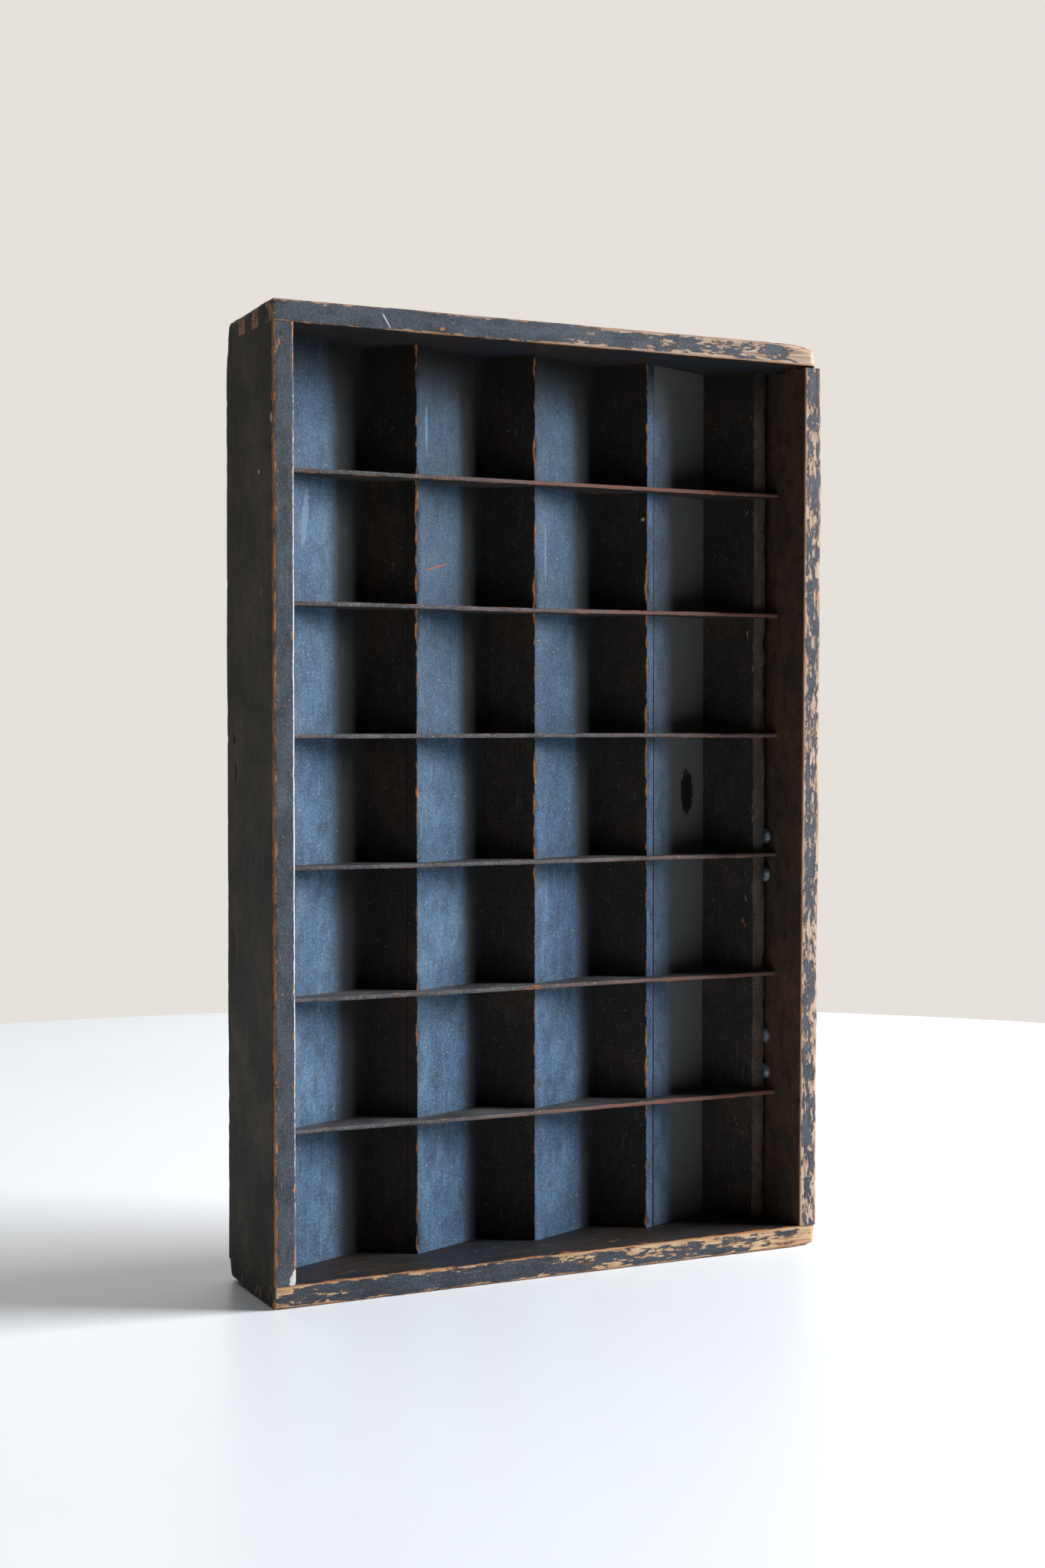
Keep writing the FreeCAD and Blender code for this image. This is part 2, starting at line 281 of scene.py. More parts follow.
# %% Wrap sockets and materials
class Wire:
    """One output socket, usable in sums."""

    def __init__(self, finish, socket):
        self.finish = finish
        self.socket = socket

    def __add__(self, other):
        return self.finish.math("ADD", self, other)

    def __radd__(self, other):
        return self.finish.math("ADD", other, self)

    def __sub__(self, other):
        return self.finish.math("SUBTRACT", self, other)

    def __rsub__(self, other):
        return self.finish.math("SUBTRACT", other, self)

    def __mul__(self, other):
        return self.finish.math("MULTIPLY", self, other)

    def __rmul__(self, other):
        return self.finish.math("MULTIPLY", other, self)


class Tree:
    """A node tree, and the few ways in which this lesson adds nodes to it."""

    def __init__(self, tree):
        self.tree = tree

    def add(self, kind, settings, inputs, output=0):
        node = self.tree.nodes.new(kind)
        for name, value in settings.items():
            setattr(node, name, value)
        for name, value in inputs.items():
            self.join(node.inputs[name], value)
        return Wire(self, node.outputs[output])

    def join(self, socket, value):
        if isinstance(value, Wire):
            self.tree.links.new(value.socket, socket)
        else:
            socket.default_value = value

    def math(self, operation, one, other):
        return self.add("ShaderNodeMath", {"operation": operation}, {0: one, 1: other})

    def ramp(self, value, start, end):
        """0 below start and 1 above end, eased between them."""
        settings = {"interpolation_type": "SMOOTHSTEP"}
        return self.add("ShaderNodeMapRange", settings,
                        {"Value": value, "From Min": start, "From Max": end})

    def blend(self, amount, one, other, mode="MIX"):
        """Colour one where amount is 0, the other where it is 1. Sockets 6 and 7 hold colours."""
        settings = {"data_type": "RGBA", "blend_type": mode}
        return self.add("ShaderNodeMix", settings, {0: amount, 6: one, 7: other}, 2)


class Finish(Tree):
    """One material and the nodes that make it."""

    def __init__(self, name, metallic=0.0):
        self.material = bpy.data.materials.new(name)
        self.material.use_nodes = True
        super().__init__(self.material.node_tree)
        self.shader = self.tree.nodes["Principled BSDF"]
        self.shader.inputs["Metallic"].default_value = metallic
        self.place = self.add("ShaderNodeTexCoord", {}, {}, "Object")

    def stretch(self, scale):
        return self.add("ShaderNodeVectorMath", {"operation": "MULTIPLY"},
                        {0: self.place, 1: scale})

    def noise(self, vector, size, detail=4.0, roughness=0.6, distortion=0.0):
        return self.add("ShaderNodeTexNoise", {},
                        {"Vector": vector, "Scale": 1 / size, "Detail": detail,
                         "Roughness": roughness, "Distortion": distortion})

    def cells(self, vector, size, output, shape="CHEBYCHEV"):
        """Random cells, blocky or round: the Distance to the middle, or a random Color."""
        return self.add("ShaderNodeTexVoronoi", {"distance": shape},
                        {"Vector": vector, "Scale": 1 / size}, output)

    def chance(self, vector, size, shape="CHEBYCHEV"):
        """A random number from 0 to 1 for each cell."""
        cell = self.cells(vector, size, "Color", shape)
        return self.add("ShaderNodeSeparateColor", {}, {0: cell})

    def specks(self, spacing, radius, share):
        """Dots of dust: 1 in the middle of that share of the cells."""
        middle = self.cells(self.place, spacing, "Distance", "EUCLIDEAN")
        dot = 1 - self.ramp(middle, radius * 0.6, radius)
        chance = self.chance(self.place, spacing, "EUCLIDEAN")
        return dot * self.ramp(chance, 1 - share, 1.01 - share)

    def spot(self, centre, radii, tilt=0.0):
        """A ragged mark: 1 inside an oval of those radii, leaning by tilt about Y."""
        settings = {"vector_type": "TEXTURE"}
        inputs = {"Vector": self.place, "Location": centre, "Rotation": (0, tilt, 0),
                  "Scale": radii}
        oval = self.add("ShaderNodeMapping", settings, inputs)
        reach = self.add("ShaderNodeVectorMath", {"operation": "LENGTH"}, {0: oval}, "Value")
        rough = self.noise(self.place, 1.6 * MM, detail=3.0)
        return 1 - self.ramp(reach + (rough - 0.5) * 1.1, 0.75, 1.0)

    def attribute(self, name):
        return self.add("ShaderNodeAttribute", {"attribute_name": name}, {}, "Fac")

    def facing_up(self):
        normal = self.add("ShaderNodeNewGeometry", {}, {}, "Normal")
        return self.add("ShaderNodeSeparateXYZ", {}, {0: normal}, "Z")

    def finish(self, colour, roughness, height, depth):
        bump = self.add("ShaderNodeBump", {}, {"Distance": depth, "Height": height})
        self.join(self.shader.inputs["Base Color"], colour)
        self.join(self.shader.inputs["Roughness"], roughness)
        self.join(self.shader.inputs["Normal"], bump)
        return self.material


def colour(red, green, blue):
    return (red, green, blue, 1.0)


# %% [markdown]
# ## Old paint over pine
#
# The frame wears one coat of slate-blue paint, matt and chalky. Pine's fibres run one way, so
# the paint lets go in short strips along them, with ragged ends, and first of all along the
# arrises. The mask is a noise stretched along the grain plus the two values stored on the
# mesh: where the sum passes a threshold the wood shows. A narrow band just under the threshold
# is paint worn thin, which lets the brown wood through. Paint has thickness, so the same mask
# drives the bump.

# %% Painted wood
ALONG_X = (0.24, 1.0, 1.0)
ALONG_Z = (1.0, 1.0, 0.30)
BARE_AT = 0.72
THIN_AT = 0.66
CHALKY_SHINE = 0.22
BLACK = colour(0.004, 0.004, 0.004)
PINE_LIGHT = colour(0.53, 0.395, 0.30)
PINE_DARK = colour(0.29, 0.180, 0.115)
TAN_LIGHT = colour(0.58, 0.40, 0.24)
TAN_DARK = colour(0.33, 0.17, 0.085)
EDGE_BROWN = colour(0.30, 0.125, 0.050)
WORN_THIN = colour(0.115, 0.055, 0.030)
DUST = colour(0.23, 0.255, 0.285)
# Near-black tone for dirt and for painted shade, where the next ridge's shadow falls in the
# valleys.
GRIME_AND_SHADE = colour(0.0100, 0.0088, 0.0064)
# Grey tone of the fourth wide slope: the right board's painted shadow, with some dirt.
SHADE_AND_GRIME_GREY = colour(0.090, 0.088, 0.082)


def slimmer(along, factor):
    """The same stretch with the fibres' own direction drawn out further."""
    return [factor * value if value < 1 else 1 for value in along]


def painted_wood(name, along, paint, mottle, flake=2.2 * MM, reach=2.0, arris_loss=0.17,
                 wood=PINE_LIGHT, wood_dark=PINE_DARK, edge=EDGE_BROWN, speckle=0.35,
                 dust=0.35, dust_tone=DUST, grime_and_shade_tone=GRIME_AND_SHADE, thin_tone=WORN_THIN,
                 sliver=0.06, marks=()):
    look = Finish(name)
    look.shader.inputs["Specular IOR Level"].default_value = CHALKY_SHINE
    fibres = look.stretch(along)
    arris = look.attribute("arris_mm")
    bareness = look.attribute("bareness")
    grime_and_shade = look.attribute("grime_and_shade")

    broad = look.noise(fibres, flake * 1.25, detail=4.0, roughness=0.62)
    blocks = look.chance(fibres, flake * 0.40)
    slivers = look.chance(look.stretch(slimmer(along, 0.35)), flake * 0.2)
    ragged = look.noise(fibres, flake * 0.25, detail=2.0)
    near_arris = 1 - look.ramp(arris, 0.0, reach)
    loss = broad * 0.90 + (blocks - 0.5) * 0.16 + (slivers - 0.5) * sliver + ragged * 0.10
    loss = loss + bareness + near_arris * arris_loss
    bare = look.ramp(loss, BARE_AT, BARE_AT + 0.010)
    thin = look.ramp(loss, THIN_AT, BARE_AT)

    cloudy = look.noise(look.place, 34 * MM, detail=5.0)
    mottled = look.noise(look.stretch([math.sqrt(value) for value in along]), 6 * MM, detail=5.0)
    streaks = look.noise(look.stretch(slimmer(along, 0.25)), 1.1 * MM, detail=3.0)
    grain = look.noise(look.place, 0.8 * MM, detail=2.5, roughness=0.85)
    coat = look.blend(look.ramp(cloudy, 0.35, 0.68), paint, mottle)
    coat = look.blend(look.ramp(mottled, 0.62, 0.30) * 0.42, coat, BLACK)
    coat = look.blend(look.ramp(streaks, 0.5, 0.8) * 0.34, coat, BLACK)
    coat = look.blend(look.ramp(grain, 0.56, 0.34) * 0.5, coat, BLACK)
    coat = look.blend(look.ramp(grain, 0.53, 0.72) * speckle, coat, dust_tone)
    # Dirt and painted shade: the stored value darkens the coat towards the dark tone, and fewer
    # specks show there.
    dirt_and_shade = look.ramp(grime_and_shade + (mottled - 0.5) * 0.5, 0.1, 0.95)
    coat = look.blend(dirt_and_shade * (0.80 + grain * 0.3), coat, grime_and_shade_tone)
    free_of_dirt_and_shade = 1 - dirt_and_shade * 0.85
    coat = look.blend(look.specks(2.6 * MM, 0.17, 0.14) * speckle * free_of_dirt_and_shade * 2.0, coat, DUST)
    smears = look.ramp(streaks, 0.42, 0.24) * look.ramp(mottled, 0.35, 0.6)
    coat = look.blend(smears * speckle * free_of_dirt_and_shade * 0.9, coat, dust_tone)
    settled = look.ramp(look.facing_up(), 0.5, 1.0) * look.ramp(cloudy, 0.3, 0.7) * dust
    coat = look.blend(settled, coat, DUST)
    coat = look.blend(thin * 0.75, coat, thin_tone)

    timber = look.blend(look.ramp(streaks, 0.40, 0.68), wood, wood_dark)
    timber = look.blend(look.ramp(mottled, 0.45, 0.75) * 0.45, timber, wood_dark)
    timber = look.blend((1 - look.ramp(arris, 0.25, 1.1)) * 0.75, timber, edge)
    surface = look.blend(bare, coat, timber)
    for centre, radii, tilt, tone in marks:
        surface = look.blend(look.spot(centre, radii, tilt), surface, tone)
    roughness = 0.66 + bare * 0.16 + grime_and_shade * 0.08
    height = (1 - bare) * 0.55 + streaks * 0.26 + grain * 0.18
    return look.finish(surface, roughness, height, 0.22 * MM)


SLATE_DARK = colour(0.043, 0.049, 0.062)
SLATE = colour(0.066, 0.079, 0.101)
SLATE_PALE = colour(0.092, 0.104, 0.126)
OLIVE_BLACK = colour(0.016, 0.019, 0.013)
OLIVE_BROWN = colour(0.085, 0.064, 0.042)
STAIN = colour(0.085, 0.057, 0.040)
STAIN_WORN = colour(0.150, 0.080, 0.048)
BLUE_BLACK = colour(0.017, 0.022, 0.032)
BROWN_BLACK = colour(0.034, 0.022, 0.016)
BURNT = colour(0.42, 0.16, 0.055)
CHALK = colour(0.62, 0.60, 0.56)
RUBBED = colour(0.47, 0.215, 0.100)
RUBBED_DARK = colour(0.23, 0.082, 0.032)
rubbed = {"wood": RUBBED, "wood_dark": RUBBED_DARK, "edge": BURNT}


def mark(place, radii, tone, tilt=0.0):
    """A mark: its middle in mm from the case's left, front and foot, its radii in mm."""
    centre = [corner + value * MM for corner, value in zip(low_corner, place)]
    return centre, [radius * MM for radius in radii], tilt, tone


front_right = painted_wood("slate_paint_right_board", ALONG_Z, SLATE, SLATE_PALE,
                           flake=2.1 * MM, sliver=0.045)
front_left = painted_wood("slate_paint_left_board", ALONG_Z, SLATE, SLATE_PALE,
                          flake=1.8 * MM, **rubbed, marks=(
    mark((BOARD / MM, 0, 210), (0.75, 1, 203), CHALK),
    mark((8.4, 0, 12.5), (1.6, 4, 4.5), CHALK, tilt=0.4)))
front_foot = painted_wood("slate_paint_bottom_board", ALONG_X, SLATE_DARK, SLATE,
                          flake=2.5 * MM, sliver=0.04, wood=TAN_LIGHT, wood_dark=TAN_DARK,
                          edge=TAN_DARK)
front_top = painted_wood("slate_paint_top_board", ALONG_X, SLATE, SLATE_PALE,
                         edge=colour(0.36, 0.20, 0.12), sliver=0.045, marks=(
    mark((51, 0, 414.5), (0.32, 1, 4.2), CHALK, tilt=-0.55),
    mark((77, 0, 413), (1.5, 1, 0.9), BURNT)))
outer_side = painted_wood("blackened_paint_side", ALONG_Z, OLIVE_BLACK, OLIVE_BROWN,
                          speckle=0.20, arris_loss=0.24, **rubbed, marks=(
    mark((0, 1.7, 371), (2, 1.2, 2.4), CHALK),
    mark((0, 17, 350), (2, 1.1, 0.9), CHALK)))
outer_end = painted_wood("blackened_paint_end", ALONG_X, OLIVE_BLACK, OLIVE_BROWN,
                         speckle=0.08, arris_loss=0.15, **rubbed)
inner_side = painted_wood("dark_stain_side", ALONG_Z, STAIN, STAIN_WORN, reach=1.2,
                          speckle=0.13, **rubbed)
inner_end = painted_wood("dark_stain_end", ALONG_X, BLUE_BLACK, BROWN_BLACK, reach=3.5,
                         speckle=0.07, dust=0.0, edge=BURNT, wood=BURNT, wood_dark=WORN_THIN)
print("painted woods:", 8)

# %% [markdown]
# ## End grain
#
# On the ends of the fingers the fibres stand straight out, so the wood looks like a cut brush:
# fine pores, and darker growth rings. The paint held better here on some fingers than on
# others, and handling has left the bare ones orange.

# %% End grain
def end_grain(name, paint):
    look = Finish(name)
    bareness = look.attribute("bareness")
    pores = look.noise(look.place, 0.45 * MM, detail=2.0)
    brushed = look.noise(look.stretch((1.0, 1.0, 0.16)), 0.7 * MM, detail=3.0)
    ragged = look.noise(look.stretch((1.0, 1.0, 0.35)), 2.2 * MM, detail=4.0)
    bare = look.ramp(ragged + bareness, 0.64, 0.70)
    timber = look.blend(look.ramp(brushed, 0.36, 0.62), colour(0.66, 0.39, 0.20),
                        colour(0.22, 0.10, 0.045))
    timber = look.blend(look.ramp(pores, 0.50, 0.7) * 0.6, timber, colour(0.05, 0.028, 0.016))
    surface = look.blend(bare, paint, timber)
    return look.finish(surface, 0.75 + bare * 0.1, pores * 0.5 + (1 - bare) * 0.4, 0.2 * MM)


finger_ends = end_grain("finger_end_grain", OLIVE_BLACK)
print("end grain: 1")

# %% [markdown]
# ## The frame boards
#
# The top and bottom boards own the odd fingers of each joint, and the side boards own the even
# ones, so the cells between fingers are simply left empty. A rebate behind takes the panel.
# Four kinds of face need four finishes: the front edge, the outside, the inside and the end
# grain. Which finish a quad gets follows from the way it looks.

# %% Which cells and which finish
ODD, EVEN = 0, 1


def in_fingers(y, which):
    """Whether a depth lies in the odd or even fingers, less the gap that a joint needs."""
    place = (y - FRONT) / FINGER
    finger = np.floor(place)
    gap = JOINT_GAP / FINGER
    inside = (place - finger > gap) & (place - finger < 1 - gap)
    at_face = (y < FRONT + FINGER / 2) | (y > BACK - FINGER / 2)
    return (finger % 2 == which) & (inside | at_face)


finger_lines = [FRONT + FINGER * number + side * JOINT_GAP
                for number in range(1, FINGERS) for side in (-1, 0, 1)]


def way_it_looks(points, quads):
    """Each quad's unit normal, before wear."""
    corners = points[quads]
    across = np.cross(corners[:, 2] - corners[:, 0], corners[:, 3] - corners[:, 1])
    return across / np.linalg.norm(across, axis=1)[:, None]


FRONT_SLOT, OUTER_SLOT, INNER_SLOT, END_SLOT = range(4)


def frame_slots(points, quads, outward, grain_axis):
    """A finish for each quad of a frame board whose outside looks along outward."""
    looks = way_it_looks(points, quads)
    slots = np.full(len(quads), INNER_SLOT)
    slots[looks[:, 1] < -0.5] = FRONT_SLOT
    slots[looks[:, 1] > 0.5] = OUTER_SLOT
    slots[looks @ np.array(outward) > 0.5] = OUTER_SLOT
    slots[np.abs(looks[:, grain_axis]) > 0.5] = END_SLOT
    return slots


front = Face((0, FRONT, 0), (0, -1, 0))
back = Face((0, BACK, 0), (0, 1, 0))
left_end = Face((LEFT, 0, 0), (-1, 0, 0))
right_end = Face((RIGHT, 0, 0), (1, 0, 0))
above = Face((0, 0, TOP), (0, 0, 1))
below = Face((0, 0, FOOT), (0, 0, -1))


def bump_at(places, size):
    """A smooth swelling round each place, of the height given after its x, y and z."""
    def swell(points):
        total = np.zeros(len(points))
        for *place, height in places:
            gap = np.linalg.norm((points - np.array(place)) / np.array(size), axis=1)
            total += height * np.exp(-gap ** 2)
        return total
    return swell


print("finger lines:", len(finger_lines))

# %% [markdown]
# ### Top and bottom boards
#
# They run the full width, over the ends of the side boards. The top board's back left corner
# has been dropped on at least once and its right end is rubbed quite round, so those arrises
# get an extra radius. The loss of paint grows from left to right along both boards, and the
# bottom board has lost it at its left end too.

# %% Make the top and bottom boards
def share(value, low, high):
    """How far value has come from low to high, eased and kept between 0 and 1."""
    part = np.clip((value - low) / (high - low), 0, 1)
    return part * part * (3 - 2 * part)


SOUND_PAINT = -0.03          # bareness of the outer faces: only the arrises lose paint
BARE_END = 0.30
ODD_END_FINGERS = (2, 4)     # counted from 0 at the front: the bare ones at the left end


def end_board(node, front_paint, low, high, outward, corner_wear, bare_along, dirt, seed):
    inner = high if outward < 0 else low
    outer = low if outward < 0 else high

    def filled(x, y, z):
        over_side = (x < INNER_LEFT) | (x > INNER_RIGHT)
        in_rebate = (y > PANEL_FRONT) & (np.abs(z - inner) < BOARD - REBATE_COVER)
        in_rebate &= (x > LEFT + REBATE_COVER) & (x < RIGHT - REBATE_COVER)
        return (~over_side | in_fingers(y, ODD)) & ~in_rebate

    rebate_z = inner + outward * (BOARD - REBATE_COVER)
    ends = [LEFT + REBATE_COVER, RIGHT - REBATE_COVER, INNER_LEFT, INNER_RIGHT]
    lines = (lines_between(LEFT, RIGHT, 2.8 * MM, ends),
             lines_between(FRONT, BACK, 4.2 * MM, finger_lines + [PANEL_FRONT]),
             lines_between(low, high, 2.4 * MM, [rebate_z]))
    points, quads = skin_of_cells(lines, filled)
    slots = frame_slots(points, quads, (0, 0, outward), 0)
    outside = Face((0, 0, outer), (0, 0, outward))
    inside = Face((0, 0, inner), (0, 0, -outward))
    worn = {"boost": corner_wear}
    arrises = [Arris(front, outside, 0.9 * MM, seed=seed, loss=0.09, **worn),
               Arris(back, outside, 1.0 * MM, seed=seed + 1, loss=0.02, **worn),
               Arris(left_end, outside, 0.9 * MM, seed=seed + 2, **worn),
               Arris(right_end, outside, 1.2 * MM, seed=seed + 3, **worn),
               Arris(front, left_end, 0.8 * MM, seed=seed + 4, loss=0.16, wide=1.6, **worn),
               Arris(front, right_end, 1.1 * MM, seed=seed + 5, loss=0.12, **worn),
               Arris(back, left_end, 0.9 * MM, seed=seed + 6, **worn),
               Arris(back, right_end, 0.9 * MM, seed=seed + 7, **worn),
               Arris(front, inside, 0.55 * MM, seed=seed + 8, loss=0.12, wide=1.8)]
    moved, arris_mm, lost = wear(points, arrises)
    on_front = points[:, 1] < FRONT + ON_FACE
    on_inside = np.abs(points[:, 2] - inner) < ON_FACE
    soiled = -0.06 if outward > 0 else 0.01
    bareness = np.where(on_inside, soiled, SOUND_PAINT)
    bareness = np.where(on_front, bare_along(points[:, 0]), bareness)
    finger = np.floor((points[:, 1] - FRONT) / FINGER)
    at_left_end = points[:, 0] < LEFT + ON_FACE
    handled = 1.0 if outward > 0 else 0.3
    rubbed_ends = (np.isin(finger, ODD_END_FINGERS) * 0.26 + (finger == 0) * 0.14) * handled
    bareness = np.where(at_left_end, rubbed_ends, bareness)
    bareness = np.where(points[:, 0] > RIGHT - ON_FACE, BARE_END, bareness)
    values = {"arris_mm": arris_mm, "bareness": bareness + lost,
              "grime_and_shade": np.where(on_front, dirt, 0.0)}
    flaked_end = ((points[quads, 0].min(axis=1) > RIGHT - ON_FACE)
                  & (points[quads, 1].max(axis=1) < FRONT + 6 * MM))
    slots[flaked_end] = FRONT_SLOT
    materials = (front_paint, outer_end, inner_end, finger_ends)
    return make_piece(node, moved, quads, values, materials, slots)


def top_bareness(x):
    """Paint lost along the top board: little on the left, half of it on the right."""
    return -0.02 + 0.165 * share(x, -35 * MM, 70 * MM) + 0.12 * share(x, 108 * MM, RIGHT)


def foot_bareness(x):
    """Paint lost along the bottom board: the left end and the right half."""
    at_left = 0.10 * (1 - share(x, LEFT + 4 * MM, LEFT + 60 * MM))
    return 0.040 + at_left + 0.135 * share(x, -45 * MM, 60 * MM)


top_corners = bump_at([(LEFT, BACK, TOP, 5 * MM), (RIGHT, FRONT + 20 * MM, TOP, 8.5 * MM)],
                      (11 * MM, 36 * MM, 14 * MM))
foot_corners = bump_at([(LEFT, BACK, FOOT, 4 * MM), (RIGHT, FRONT, FOOT, 3 * MM)],
                       (10 * MM, 20 * MM, 12 * MM))
end_board("top_board", front_top, INNER_TOP, TOP, 1, top_corners, top_bareness, 0.0, seed=1)
end_board("bottom_board", front_foot, FOOT, INNER_FOOT, -1, foot_corners, foot_bareness, 0.1,
          seed=11)

# %% [markdown]
# ### Side boards
#
# The left board kept its paint; the right board lost half of it, and its joint with the top
# board has opened, so it leans out by almost two millimetres at the top. Leaning the whole
# board is one shear of its points after the wear. Three old knocks on the left board's outer
# face are small hollows, and the grid gets extra lines there to hold them.

# %% Make the side boards
KNOCKS = (((LEFT, FRONT + 49 * MM, FOOT + 238 * MM), 1.6 * MM, 2.2 * MM),
          ((LEFT, FRONT + 47 * MM, FOOT + 223 * MM), 1.5 * MM, 4.0 * MM),
          ((LEFT, FRONT + 50 * MM, FOOT + 149 * MM), 2.6 * MM, 5.5 * MM))
KNOCK_DEPTH = 0.8 * MM
KNOCK_STEPS = np.linspace(-1.6, 1.6, 9)


def knock_in(points, worn, bareness):
    """Press the old knocks into the outer face and strip their paint."""
    for centre, half_depth, half_height in KNOCKS:
        y_gap = (points[:, 1] - centre[1]) / half_depth
        z_gap = (points[:, 2] - centre[2]) / half_height
        press = np.exp(-(y_gap ** 2 + z_gap ** 2)) * (points[:, 0] < LEFT + ON_FACE)
        worn[:, 0] += press * KNOCK_DEPTH
        bareness += press * 0.3


def side_board(node, paint, outer, outward, radius, front_bareness, losses, lean, top_gap, seed):
    inner = outer - outward * BOARD
    rebate_x = outer - outward * REBATE_COVER
    top_end = INNER_TOP - top_gap

    def filled(x, y, z):
        at_joint = (z < INNER_FOOT) | (z > top_end)
        in_rebate = (y > PANEL_FRONT) & (np.abs(x - inner) < BOARD - REBATE_COVER)
        return (~at_joint | in_fingers(y, EVEN)) & ~in_rebate

    knocks = KNOCKS if outward < 0 else ()
    knock_y = [centre[1] + step * half for centre, half, _ in knocks for step in KNOCK_STEPS]
    knock_z = [centre[2] + step * half for centre, _, half in knocks for step in KNOCK_STEPS]
    lines = (lines_between(min(inner, outer), max(inner, outer), 2.4 * MM, [rebate_x]),
             lines_between(FRONT, BACK, 4.2 * MM, finger_lines + [PANEL_FRONT] + knock_y),
             lines_between(FOOT, TOP, 2.8 * MM, [INNER_FOOT, top_end] + knock_z))
    points, quads = skin_of_cells(lines, filled)
    slots = frame_slots(points, quads, (outward, 0, 0), 2)
    outside = Face((outer, 0, 0), (outward, 0, 0))
    inside = Face((inner, 0, 0), (-outward, 0, 0))
    arrises = [Arris(front, outside, radius, seed=seed, loss=losses[0], wide=1.6),
               Arris(back, outside, 1.0 * MM, seed=seed + 1, boost=top_corners),
               Arris(front, inside, 0.6 * MM, seed=seed + 2, loss=losses[1], wide=0.9),
               Arris(outside, above, 0.9 * MM, seed=seed + 3, boost=top_corners),
               Arris(outside, below, 0.9 * MM, seed=seed + 4, boost=foot_corners)]
    worn, arris_mm, lost = wear(points, arrises)
    on_front = points[:, 1] < FRONT + ON_FACE
    bareness = np.where(on_front, front_bareness, -0.04)
    if outward < 0:
        knock_in(points, worn, bareness)
    worn[:, 0] += lean * share(points[:, 2], FOOT, TOP)
    values = {"arris_mm": arris_mm, "bareness": bareness + lost, "grime_and_shade": points[:, 0] * 0}
    materials = (paint, outer_side, inner_side, finger_ends)
    return make_piece(node, worn, quads, values, materials, slots)


side_board("left_board", front_left, LEFT, -1, 0.8 * MM, -0.03, (0.25, 0.06), 0.0, 0.0, seed=21)
side_board("right_board", front_right, RIGHT, 1, 1.1 * MM, 0.175, (0.03, 0.09), 1.7 * MM,
           0.9 * MM, seed=31)

# %% [markdown]
# ## Paint inside the cells
#
# The wide slopes catch the window, so their paint shows best: a dusty blue, with fine pale
# specks where dust has stuck and faint upright smears where type was scraped out. The steep
# slopes look away from the light and have gone almost black with dirt and oil. Along the
# ridges fingers have rubbed through to orange wood.

# %% Slope paints
BLUE = colour(0.044, 0.098, 0.180)
BLUE_PALE = colour(0.086, 0.158, 0.252)
BLUE_DUST = colour(0.20, 0.27, 0.36)
SOOT = colour(0.013, 0.013, 0.012)
SOOT_BROWN = colour(0.036, 0.023, 0.015)
STRIP = colour(0.130, 0.112, 0.092)
STRIP_BROWN = colour(0.120, 0.075, 0.050)
CREAM = colour(0.60, 0.42, 0.22)
SMEAR = colour(0.105, 0.165, 0.235)
SLAT_GREY = colour(0.100, 0.098, 0.104)
SLAT_PALE = colour(0.150, 0.132, 0.130)
SLAT_WORN = colour(0.20, 0.088, 0.062)
SLAT_DARK = colour(0.034, 0.033, 0.034)
SLAT_BROWN = colour(0.060, 0.042, 0.034)
REDDISH_THIN = colour(0.125, 0.048, 0.024)
in_cell = dict(rubbed, reach=1.4)

wide_paint = painted_wood("dusty_blue_slope", ALONG_Z, BLUE, BLUE_PALE, speckle=0.56,
                          dust_tone=BLUE_DUST, **in_cell, marks=(
    mark((89, 33, 314), (9, 9, 0.42), RUBBED_DARK, tilt=-0.26),
    mark((26, 31, 333), (2, 9, 13), SMEAR, tilt=0.1),
    mark((83, 31, 374), (0.8, 6, 12), SMEAR),
    mark((142, 31, 322), (0.6, 6, 15), SMEAR)))
# The fourth wide slope lies in the right board's shadow, so it has its own copy of the blue paint
# that turns grey: painted shade with some dirt.
shaded_paint = painted_wood("grey_blue_slope", ALONG_Z, BLUE, BLUE_PALE, speckle=0.40,
                            grime_and_shade_tone=SHADE_AND_GRIME_GREY, **in_cell, marks=(
    mark((222, 42, 212), (5, 20, 12), BLACK),))
steep_paint = painted_wood("sooty_slope", ALONG_Z, SOOT, SOOT_BROWN, arris_loss=0.25,
                           speckle=0.16, thin_tone=REDDISH_THIN, **in_cell, marks=(
    mark((191.8, 29.5, 339), (0.9, 2, 0.9), CREAM),))
strip_paint = painted_wood("brown_ridge_strip", ALONG_Z, STRIP, STRIP_BROWN, arris_loss=0.10,
                           speckle=0.10, **in_cell)
slat_paint = painted_wood("worn_slat", ALONG_X, SLAT_GREY, SLAT_PALE, arris_loss=0.08,
                          speckle=0.8, dust=0.5, grime_and_shade_tone=SLAT_WORN, **in_cell)
slat_face = painted_wood("dark_slat_face", ALONG_X, SLAT_DARK, SLAT_BROWN, speckle=0.15,
                         dust=0.3, **in_cell)
print("cell paints: 6")

# %% [markdown]
# ## The sloping boards
#
# Each slope's cross-section is a quadrilateral: its ends are bevelled to meet the next board.
# Reading the four corners from the CAD node keeps the joints exact. The corner nearest the
# open front is the ridge, the deepest one is the back of the valley, and the other two follow.
# The grid runs ridge to valley, front to back, and up, and is carried onto that outline.

# %% Read a slope's outline
def outline_of(node):
    """The distinct corners of a prism that stands upright, seen from above."""
    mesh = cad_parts[node].data
    places = {tuple(round(value, 6) for value in vertex.co[:2]) for vertex in mesh.vertices}
    return sorted(places)


def slope_corners(node):
    corners = sorted(outline_of(node), key=lambda corner: (round(corner[1], 5), corner[0]))
    ridge_front = corners[0]
    valley_back = corners[3]
    ridge_back, valley_front = sorted(corners[1:3], key=lambda corner: corner[1])
    return [np.array(corner) for corner in (ridge_front, valley_front, ridge_back, valley_back)]


